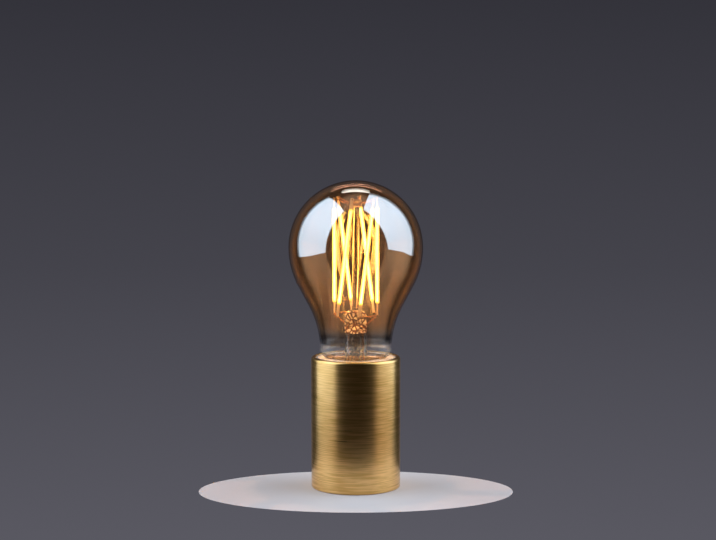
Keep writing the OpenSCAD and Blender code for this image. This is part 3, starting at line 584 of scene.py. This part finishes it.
clear_glass = solid_glass("clear_glass", (0.98, 0.93, 0.86), rough=0.01, waves=220, depth=0.12)
stem = lathe("stem_tube", [
    (STEM_R, STEM_TOP), *arc(flare, FLARE_R, 180, 270, 12), (SPIGOT_R, SPIGOT_Z),
    (SPIGOT_R, SPIGOT_Z - STEM_WALL), *arc(flare, FLARE_R + STEM_WALL, 270, 180, 12),
    (STEM_R - STEM_WALL, STEM_TOP), (STEM_R, STEM_TOP),
], steps=64)
smooth(stem)
give(stem, clear_glass)
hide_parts("stem_flare")
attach(stem, "bulb")

PRESS_H = PRESS_TOP - STEM_TOP
PINCH = ((0.12, 1.0, 0.9), (0.3, 1.0, 0.56), (0.55, 0.98, 0.46), (0.8, 0.96, 0.46), (0.93, 0.88, 0.44),
         (1.0, 0.70, 0.40))
press_glass = solid_glass("press_glass", (0.98, 0.90, 0.80), rough=0.03, waves=420, depth=0.9, painted_glint_seal=0.8)
bpy.ops.object.select_all(action="DESELECT")
bpy.ops.mesh.primitive_cylinder_add(vertices=48, radius=STEM_R, depth=PRESS_H, location=(0, 0, 0))
press = bpy.context.object
press.name = press.data.name = "glass_press"
bpy.ops.object.mode_set(mode="EDIT")
bpy.ops.transform.translate(value=(0, 0, STEM_TOP + PRESS_H / 2))
for share, _, _ in PINCH[:-1]:
    bpy.ops.mesh.select_all(action="SELECT")
    bpy.ops.mesh.bisect(plane_co=(0, 0, STEM_TOP + share * PRESS_H), plane_no=(0, 0, 1))
for share, wide, deep in PINCH:
    bpy.ops.mesh.select_all(action="DESELECT")
    bpy.ops.object.mode_set(mode="OBJECT")
    for vertex in press.data.vertices:
        vertex.select = abs(vertex.co.z - STEM_TOP - share * PRESS_H) < 2e-5
    bpy.ops.object.mode_set(mode="EDIT")
    bpy.ops.transform.resize(value=(wide, deep, 1), center_override=(0, 0, 0))
bpy.ops.object.mode_set(mode="OBJECT")
smooth(press, 50)
give(press, press_glass)
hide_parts("stem_press")
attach(press, "bulb")

EXHAUST_LOW, EXHAUST_R, EXHAUST_WALL = 0.0525, 0.002, 0.0007
exhaust = lathe("exhaust_glass", [
    (0, EXHAUST_LOW - EXHAUST_R), *arc((0, EXHAUST_LOW), EXHAUST_R, -80, 0, 8), (EXHAUST_R, STEM_TOP),
    (EXHAUST_R - EXHAUST_WALL, STEM_TOP), (EXHAUST_R - EXHAUST_WALL, EXHAUST_LOW), (0, EXHAUST_LOW),
], steps=40)
smooth(exhaust)
give(exhaust, clear_glass)
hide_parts("exhaust_tube")
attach(exhaust, "bulb")

BUTTON_Z, ROD_SUNK, ROD_R, ROD_HEAD_R, ROD_FOOT_R = 0.12624, 0.0004, 0.0016, 0.0018, 0.0022
rod = lathe("glass_rod", [
    (0, PRESS_TOP - ROD_SUNK), (ROD_FOOT_R, PRESS_TOP - ROD_SUNK),
    ((ROD_FOOT_R + ROD_R) / 2, PRESS_TOP + 0.0010), (ROD_R, PRESS_TOP + 0.0030),
    (ROD_R, BUTTON_Z - 0.0022), (ROD_HEAD_R, BUTTON_Z - 0.0008), (ROD_HEAD_R, BUTTON_Z), (0, BUTTON_Z),
], steps=40)
smooth(rod)
give(rod, clear_glass)
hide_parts("centre_rod")
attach(rod, "bulb")


# Filaments. Each is a narrow strip of ceramic with a row of blue chips, dipped in yellow phosphor
# silicone that glows all round. Flat metal tabs at both ends carry the current in and out.

FILAMENTS, FILAMENT_L, FILAMENT_R, END_ROUND, END_TAPER = 6, 0.043, 0.0009, 0.0005, 0.0012
STRIP_W, STRIP_T, STRIP_END = 0.0009, 0.0006, 0.0008
RING_R, TWIST, LOW_Z = 0.0101, 18.0, 0.0832
TOP_Z = LOW_Z + math.sqrt(FILAMENT_L ** 2 - (2 * RING_R * math.sin(math.radians(TWIST))) ** 2)


def on_ring(angle, z):
    """A point of the filament ring, at an angle counted from the front towards +X."""
    a = math.radians(angle)
    return Vector((RING_R * math.sin(a), -RING_R * math.cos(a), z))


finish = Finish("phosphor_coat")
grain = finish.noise(finish.place((1500, 1500, 900)), 2.0, 0.5)
coat = finish.principled(
    Base_Color=(0.95, 0.72, 0.22, 1), Roughness=0.5,
    Emission_Color=finish.between(grain, (0.78, 0.90, 0.14, 1), (0.84, 1.0, 0.22, 1)),
    Emission_Strength=2.4,
)
phosphor_coat = finish.surface(finish.layer(0.62, finish.clear((1, 0.93, 0.75)), coat))

finish = Finish("lit_chips")
chips = finish.node("ShaderNodeTexWave", {"bands_direction": "Z"}, {
    "Vector": finish.place(1), "Scale": 420.0, "Distortion": 0.0,
})
lit_chips = finish.surface(finish.principled(
    Base_Color=(0.9, 0.85, 0.7, 1), Roughness=0.5,
    Emission_Color=finish.between(chips, (0.86, 0.95, 0.82, 1), (0.90, 1.0, 0.96, 1)),
    Emission_Strength=13.0,
))


def filament_shape():
    """One filament along Z about the origin: a glowing strip inside its coat."""
    half = FILAMENT_L / 2
    coat = lathe("coat", [
        (0, -half), *arc((FILAMENT_R - END_ROUND, -half + END_ROUND), END_ROUND, -90, -10, 4),
        (FILAMENT_R, -half + END_TAPER), (FILAMENT_R, half - END_TAPER),
        *arc((FILAMENT_R - END_ROUND, half - END_ROUND), END_ROUND, 10, 90, 4), (0, half),
    ], steps=20)
    give(coat, phosphor_coat)
    bpy.ops.object.select_all(action="DESELECT")
    bpy.ops.mesh.primitive_cube_add(size=1, scale=(STRIP_W, STRIP_T, FILAMENT_L - 2 * STRIP_END))
    strip = bpy.context.object
    bpy.ops.object.transform_apply(location=True, rotation=True, scale=True)
    apply_modifier(strip, "BEVEL", width=STRIP_T / 5, segments=2)
    give(strip, lit_chips)
    bpy.ops.object.select_all(action="DESELECT")
    strip.select_set(True)
    coat.select_set(True)
    bpy.context.view_layer.objects.active = coat
    bpy.ops.object.join()
    smooth(coat, 60)
    return coat


def stand(piece, place, turn):
    """Turns a piece about the origin, moves it to its place and keeps both in its mesh."""
    bpy.ops.object.select_all(action="DESELECT")
    piece.select_set(True)
    bpy.context.view_layer.objects.active = piece
    piece.rotation_euler = turn.to_euler()
    piece.location = place
    bpy.ops.object.transform_apply(location=True, rotation=True, scale=True)


pattern = filament_shape()
feet, heads = [], []
for i in range(FILAMENTS):
    middle = (i + 0.5) * 360 / FILAMENTS
    foot, head = on_ring(middle - TWIST, LOW_Z), on_ring(middle + TWIST, TOP_Z)
    feet.append(foot)
    heads.append(head)
    piece = pattern.copy()
    piece.data = pattern.data.copy()
    piece.name = piece.data.name = f"led_filament_{i + 1}"
    bpy.context.scene.collection.objects.link(piece)
    stand(piece, (foot + head) / 2, (head - foot).to_track_quat("Z", "Y"))
    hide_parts(f"filament_{i + 1}")
    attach(piece, "bulb")
bpy.data.objects.remove(pattern)


# Filament tabs and supports. Flat nickel-iron tabs are welded to a star of copper-coated wires, held by
# the button on the glass rod, and to two half rings below, one for each side of the circuit.

UPPER_TAB, LOWER_TAB, TAB_W, TAB_T, TAB_SUNK = 0.0048, 0.0054, 0.0015, 0.0004, 0.0004


def joined(name, parts):
    """Several pieces as one."""
    bpy.ops.object.select_all(action="DESELECT")
    for part in parts:
        part.select_set(True)
    bpy.context.view_layer.objects.active = parts[0]
    bpy.ops.object.join()
    parts[0].name = parts[0].data.name = name
    return parts[0]


def tab(start, end):
    """A flat tab from just inside a filament's end, with rounded edges, lying along the ring."""
    start = start - (end - start).normalized() * TAB_SUNK
    bpy.ops.object.select_all(action="DESELECT")
    bpy.ops.mesh.primitive_cube_add(size=1, scale=(TAB_W, TAB_T, (end - start).length))
    piece = bpy.context.object
    bpy.ops.object.transform_apply(location=True, rotation=True, scale=True)
    apply_modifier(piece, "BEVEL", width=TAB_T * 0.35, segments=2)
    along = (end - start).normalized()
    out = Vector((start.x, start.y, 0)).normalized()
    side = along.cross(out).normalized()
    out = side.cross(along)
    stand(piece, (start + end) / 2, Matrix((side, out, along)).transposed().to_quaternion())
    return piece


copper_wire = plated("copper_wire", (0.86, 0.50, 0.30, 1), (0.66, 0.34, 0.18, 1), 0.26, grain=500)
# A lighter, less metallic copy of the copper, painted as lit by the filaments.
painted_lit_copper = plated("painted_lit_copper", (1.0, 0.78, 0.60, 1), (0.90, 0.58, 0.38, 1), 0.42, metal=0.25, grain=500)
# The tabs are a lighter copy of the copper with an emission, a painted glow of filament light.
tabs_painted_glow = plated(
    "tabs_painted_glow", (1.0, 0.80, 0.60, 1), (0.90, 0.60, 0.38, 1), 0.42, metal=0.25, grain=500, glow=0.5)
upper_ends = [head + (head - foot).normalized() * UPPER_TAB for foot, head in zip(feet, heads)]
lower_ends = [foot - (head - foot).normalized() * LOWER_TAB for foot, head in zip(feet, heads)]
for name, node, starts, ends in (("upper_end_tabs", "upper_tabs", heads, upper_ends),
                                 ("lower_end_tabs", "lower_tabs", feet, lower_ends)):
    piece = joined(name, [tab(start, end) for start, end in zip(starts, ends)])
    smooth(piece, 40)
    give(piece, tabs_painted_glow)
    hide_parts(node)
    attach(piece, "bulb")

BUTTON_H, STAR_WIRE, STAR_BEND = 0.0031, 0.0006, 0.0006
STAR_ROOT, STAR_REACH, STAR_RISE, STAR_FOOT = 0.0017, 0.0060, 0.0006, 0.0009
grip_z = BUTTON_Z + BUTTON_H / 2
star_wires = []
for end in upper_ends:
    out = Vector((end.x, end.y, 0)).normalized()
    star_wires.append(wire("star", [
        out * STAR_ROOT + Vector((0, 0, grip_z)), out * STAR_REACH + Vector((0, 0, grip_z + STAR_RISE)),
        end, end - Vector((0, 0, STAR_FOOT)),
    ], STAR_WIRE, STAR_BEND))
star = joined("support_star", star_wires)
give(star, copper_wire)
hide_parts("top_star")
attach(star, "bulb")

LOW_RIB_R, MID_RIB_R, TOP_RIB_R, RIB, MID_RIB = 0.0029, 0.0025, 0.0027, 0.0004, 0.0003
button = lathe("rod_button_copper", [
    (0, BUTTON_Z), *arc((LOW_RIB_R - RIB, BUTTON_Z + RIB), RIB, -90, 60, 6),
    *arc((MID_RIB_R - MID_RIB, grip_z), MID_RIB, -60, 60, 6),
    *arc((TOP_RIB_R - RIB, BUTTON_Z + BUTTON_H - RIB), RIB, -60, 90, 6), (0, BUTTON_Z + BUTTON_H),
], steps=48)
smooth(button)
give(button, painted_lit_copper)
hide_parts("rod_button")
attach(button, "bulb")


RING_WIRE, RING_STEPS, LEAD_WIRE, LEAD_ROUND = 0.0008, 40, 0.0007, 0.0012


def ring_path(first, last):
    """Points of a half ring through the lower ends of the filaments from first to last."""
    start = lower_ends[first]
    r, angle = math.hypot(start.x, start.y), math.atan2(start.y, start.x)
    step = 2 * math.pi / FILAMENTS * (last - first) / RING_STEPS
    angles = [angle + step * i for i in range(RING_STEPS + 1)]
    return [(r * math.cos(a), r * math.sin(a), start.z) for a in angles]


for first, name, node in ((0, "live_half_ring", "live_ring"), (3, "neutral_half_ring", "neutral_ring")):
    half = wire(name, ring_path(first, first + 2), RING_WIRE)
    give(half, copper_wire)
    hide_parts(node)
    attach(half, "bulb")

LEAD_X, LEAD_ENTRY, LEAD_BEND_Z, BOARD_Y, BOARD_TOP = 0.0033, 0.0022, 0.054, -0.004, 0.051155
for middle, side, name, node in ((1, 1, "live_lead_wire", "live_lead"),
                                 (4, -1, "neutral_lead_wire", "neutral_lead")):
    end = lower_ends[middle]
    lead = wire(name, [
        end, (side * LEAD_X, 0, STEM_TOP + LEAD_ENTRY), (side * LEAD_X, 0, LEAD_BEND_Z),
        (side * LEAD_X, BOARD_Y, BOARD_TOP),
    ], LEAD_WIRE, LEAD_ROUND)
    give(lead, copper_wire)
    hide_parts(node)
    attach(lead, "bulb")


# Screw cap. The shell is thin brass, rolled to the thread and nickel-plated, and cemented round the glass.
# Under it a cone of black glass carries the tip contact, which has a drop of solder in the middle.

shell = copy_of("cap_shell", "rolled_cap_shell")
smooth(shell, 45)
give(shell, nickel_plate)
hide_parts("cap_shell")
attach(shell, "bulb")

THREAD_LOW, PLUG_H, WIRE_HOLE_R = 0.038155, 0.0014, 0.0008
CONE_LOW_R, CONE_R, CONE_TOP_R, CONE_DROP, CONE_ROUND = 0.0050, 0.0080, 0.0105, 0.0030, 0.0004
SKIRT_R, SKIRT_Z = 0.0110, THREAD_LOW - 0.0015
PLATE_TOP, PLATE_LOW, PLATE_R, PLATE_ROUND, DROP_R = TIP_Z + 0.001, TIP_Z + 0.0003, 0.0047, 0.0002, 0.0024

finish = Finish("black_glass")
swirl = finish.noise(finish.place(260), 4.0, 0.6)
black_glass = finish.surface(finish.principled(
    Base_Color=finish.between(swirl, (0.012, 0.012, 0.016, 1), (0.035, 0.033, 0.045, 1)),
    Roughness=0.12 + swirl * 0.12, Coat_Weight=0.5, Coat_Roughness=0.05,
    Normal=finish.bump(swirl, 0.2, 0.0002),
))
insulator = lathe("glass_insulator", [
    (WIRE_HOLE_R, PLATE_TOP), (PLATE_R, PLATE_TOP),
    *arc((CONE_LOW_R, PLATE_TOP + CONE_ROUND), CONE_ROUND, -90, -35, 4), (CONE_R, THREAD_LOW - CONE_DROP),
    *arc((SKIRT_R - CONE_ROUND, SKIRT_Z), CONE_ROUND, -45, 90, 6), (CONE_TOP_R, SKIRT_Z + CONE_ROUND),
    (CONE_TOP_R, THREAD_LOW + PLUG_H), (WIRE_HOLE_R, THREAD_LOW + PLUG_H), (WIRE_HOLE_R, PLATE_TOP),
], steps=72)
smooth(insulator)
give(insulator, black_glass)
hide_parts("cap_insulator")
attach(insulator, "bulb_tip")

solder = plated("solder", (0.66, 0.66, 0.66, 1), (0.46, 0.46, 0.47, 1), 0.34, grain=900)
contact = lathe("tip_contact", [
    (0, TIP_Z), *arc((0.0, TIP_Z + DROP_R), DROP_R, -86, -48, 5), (0.0022, PLATE_LOW),
    (PLATE_R - PLATE_ROUND, PLATE_LOW),
    *arc((PLATE_R - PLATE_ROUND, PLATE_LOW + PLATE_ROUND), PLATE_ROUND, -90, 0, 3),
    (PLATE_R, PLATE_TOP), (0, PLATE_TOP),
], steps=56)
smooth(contact)
give(contact, solder)
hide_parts("cap_contact")
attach(contact, "bulb_tip")

# Its orange colour is painted warm light from the filaments on a beige cement.
finish = Finish("basing_cement")
lumps = finish.noise(finish.place(1200), 4.0, 0.65)
basing_cement = finish.surface(finish.principled(
    Base_Color=finish.between(lumps, (0.66, 0.32, 0.12, 1), (0.94, 0.52, 0.24, 1)),
    Roughness=0.85 + lumps * 0.1, Normal=finish.bump(lumps, 0.6, 0.0002),
))
give(cad["cap_cement"], basing_cement)


# Driver. A small board in the cap turns the mains into direct current for the filaments. It carries a
# rectifier, a driver chip, a capacitor, a choke and a fusible resistor, and wires to the tip and shell.

def moulded(name, light, dark, rough, grain, depth, coat=0.0):
    """A moulded, dipped or printed surface with a fine grain."""
    finish = Finish(name)
    fleck = finish.noise(finish.place(grain), 3.0, 0.6)
    return finish.surface(finish.principled(
        Base_Color=finish.between(finish.band(fleck, 0.3, 0.7), dark, light),
        Roughness=rough + (fleck - 0.5) * 0.2, Coat_Weight=coat,
        Normal=finish.bump(fleck, depth, 0.00005),
    ))


board_green = moulded("board_green", (0.06, 0.26, 0.12, 1), (0.04, 0.18, 0.08, 1), 0.35, 1400, 0.3, 0.3)
black_plastic = moulded("black_plastic", (0.05, 0.05, 0.05, 1), (0.03, 0.03, 0.03, 1), 0.55, 2600, 0.4)
capacitor_sleeve = moulded(
    "capacitor_sleeve", (0.05, 0.07, 0.20, 1), (0.04, 0.05, 0.14, 1), 0.25, 500, 0.15, 0.4)
choke_ferrite = moulded("choke_ferrite", (0.16, 0.10, 0.07, 1), (0.10, 0.06, 0.04, 1), 0.6, 900, 0.5)
resistor_body = moulded("resistor_body", (0.24, 0.44, 0.52, 1), (0.18, 0.36, 0.44, 1), 0.35, 800, 0.2, 0.2)
for node, material in (
    ("driver_board", board_green), ("rectifier", black_plastic), ("driver_chip", black_plastic),
    ("smoothing_capacitor", capacitor_sleeve), ("choke", choke_ferrite),
    ("fusible_resistor", resistor_body), ("tip_wire", copper_wire), ("shell_wire", copper_wire),
    ("shell_solder", solder),
):
    give(cad[node], material)


# Floor, lamps and camera. An oval pale floor that is open under the cup and clear from below, a window at
# each side and two oval lamps above, in a dark studio. The camera looks from a little above the rim.

FLOOR_X, FLOOR_Y, UNDER_R, FORWARD, FLOOR_DOWN = 0.070, 0.0415, CUP_R - FOOT_ROUND, 0.0105, 0.00005
DAYLIGHT, SILL_LIGHT, HEAD_LIGHT = (0.68, 0.82, 0.96), 0.91 * 2.45, 1.11 * 2.45
MEAN_DAYLIGHT = sum(DAYLIGHT) / 3
CAMERA, LOOK_DOWN, FRAME_W, FOCAL_PX, SENSOR = (0.0010, -0.778, 0.1743), 5.61, 716, 1750, 36

bpy.ops.object.select_all(action="DESELECT")
bpy.ops.mesh.primitive_circle_add(vertices=128, radius=1)
floor = bpy.context.object
floor.name = floor.data.name = "pale_floor"
bpy.ops.object.mode_set(mode="EDIT")
bpy.ops.transform.resize(value=(FLOOR_X, FLOOR_Y, 1), center_override=(0, 0, 0))
bpy.ops.transform.translate(value=(0, -FORWARD, -FLOOR_DOWN))
bpy.ops.mesh.extrude_region_move()
bpy.ops.transform.translate(value=(0, FORWARD, 0))
bpy.ops.transform.resize(value=(UNDER_R / FLOOR_X, UNDER_R / FLOOR_Y, 1), center_override=(0, 0, 0))
bpy.ops.mesh.select_all(action="SELECT")
bpy.ops.object.mode_set(mode="OBJECT")
if floor.data.polygons[0].normal.z < 0:
    bpy.ops.object.mode_set(mode="EDIT")
    bpy.ops.mesh.flip_normals()
    bpy.ops.object.mode_set(mode="OBJECT")
finish = Finish("pale_floor")
from_below = finish.node("ShaderNodeNewGeometry", output="Backfacing")
matt_floor = finish.principled(Base_Color=(0.72, 0.64, 0.63, 1), Roughness=0.6)
give(floor, finish.surface(finish.layer(from_below, matt_floor, finish.clear((1, 1, 1)))))


def softbox(name, place, facing, size, strength, colour):
    """An oval lamp of a given radiance, which the camera doesn't see."""
    bpy.ops.object.light_add(type="AREA", location=place)
    lamp = bpy.context.object
    lamp.name = name
    lamp.data.shape = "ELLIPSE"
    lamp.data.size, lamp.data.size_y = size
    lamp.data.energy = strength * math.pi ** 2 / 4 * size[0] * size[1]
    lamp.data.color = colour
    lamp.rotation_euler = Vector(facing).to_track_quat("-Z", "Y").to_euler()
    lamp.visible_camera = False


def window(name, corners):
    """A pane of daylight through two lower corners and two upper ones, stronger at its head than its sill."""
    bpy.ops.object.select_all(action="DESELECT")
    bpy.ops.mesh.primitive_plane_add(size=2)
    pane = bpy.context.object
    pane.name = pane.data.name = name
    for i, corner in enumerate(corners):
        bpy.ops.object.mode_set(mode="EDIT")
        bpy.ops.mesh.select_all(action="DESELECT")
        bpy.ops.object.mode_set(mode="OBJECT")
        pane.data.vertices[i].select = True
        move = Vector(corner) - pane.data.vertices[i].co
        bpy.ops.object.mode_set(mode="EDIT")
        bpy.ops.transform.translate(value=move)
    bpy.ops.object.mode_set(mode="OBJECT")
    pane.visible_camera = False
    finish = Finish(name)

    # The colour carries the change with height, and the strength is the same all over the pane.
    sill, head = (
        (*(part / MEAN_DAYLIGHT * light for part in DAYLIGHT), 1) for light in (SILL_LIGHT, HEAD_LIGHT)
    )
    rise = finish.band(finish.xyz()[2], 0.2, 2.4)
    give(pane, finish.surface(finish.node("ShaderNodeEmission", None, {
        "Color": finish.between(rise, sill, head), "Strength": MEAN_DAYLIGHT,
    })))


window("left_window", (
    (-4.01, -2.94, -0.33), (-4.21, 2.10, -0.70), (-1.38, -1.32, 4.55), (-1.91, 2.30, 3.50)))
window("right_window", (
    (3.75, -2.34, 0.11), (4.13, 2.00, -0.60), (1.00, -1.32, 5.23), (1.24, 2.30, 4.78)))
softbox("top_softbox", (0, 2.60, 4.108), (0, -0.545, -0.838), (2.20, 0.62), 3.8, (1.0, 0.93, 0.82))
softbox("back_strip", (0, 3.24, 2.46), (0, -0.809, -0.588), (2.50, 0.085), 10.0, (1.0, 0.50, 0.34))

# What the filaments throw on the metal and the glass round them.
bpy.ops.object.light_add(type="POINT", radius=0.012, location=(0, 0, 0.105))
glow = bpy.context.object
glow.name = "filament_light"
glow.data.energy, glow.data.color = 0.14, (1.0, 0.70, 0.40)
glow.visible_camera = glow.visible_glossy = glow.visible_transmission = False

world = bpy.context.scene.world or bpy.data.worlds.new("studio")
bpy.context.scene.world = world
studio = Finish("studio", world)
across, ahead, up = studio.apart(studio.node("ShaderNodeTexCoord", output="Generated"))
height = studio.node("ShaderNodeMapRange", None, {"Value": up, "From Min": -0.25, "From Max": 0.06})
backdrop = studio.node("ShaderNodeValToRGB", {"stops": [
    (0.0, (0.102, 0.100, 0.122, 1)), (0.5, (0.058, 0.057, 0.071, 1)), (1.0, (0.033, 0.0325, 0.042, 1)),
]}, {"Fac": height})
# What gloss and metal show of the studio: the backdrop behind, warm light from below at the sides, a dim
# ceiling, and dark elsewhere.
room = studio.between(studio.band(ahead, 0.78, 0.92), (0.014, 0.010, 0.006, 1), backdrop)
ground = studio.band(ahead, -0.66, -0.54) * studio.band(ahead, 0.45, 0.25) * studio.band(up, 0.10, -0.04)
ground = ground * (studio.band(across, 0.76, 0.92) * 0.08 + 0.20)
room = studio.between(ground, room, (1.0, 0.72, 0.42, 1))
room = studio.between(studio.band(up, 0.90, 0.97), room, (0.22, 0.18, 0.13, 1))
seen = studio.node("ShaderNodeLightPath", output="Is Camera Ray")
through = studio.node("ShaderNodeLightPath", output="Is Transmission Ray")
room = studio.between(seen + through, room, backdrop)
light = studio.node("ShaderNodeBackground", None, {"Color": room})
studio.node("ShaderNodeOutputWorld", None, {"Surface": light})

bpy.ops.object.camera_add(location=CAMERA, rotation=(math.radians(90 - LOOK_DOWN), 0, 0))
camera = bpy.context.object
camera.data.sensor_width = SENSOR
camera.data.lens = FOCAL_PX / FRAME_W * SENSOR
camera.data.clip_start, camera.data.clip_end = 0.01, 20
bpy.context.scene.camera = camera
bpy.context.scene.view_settings.view_transform = "Standard"
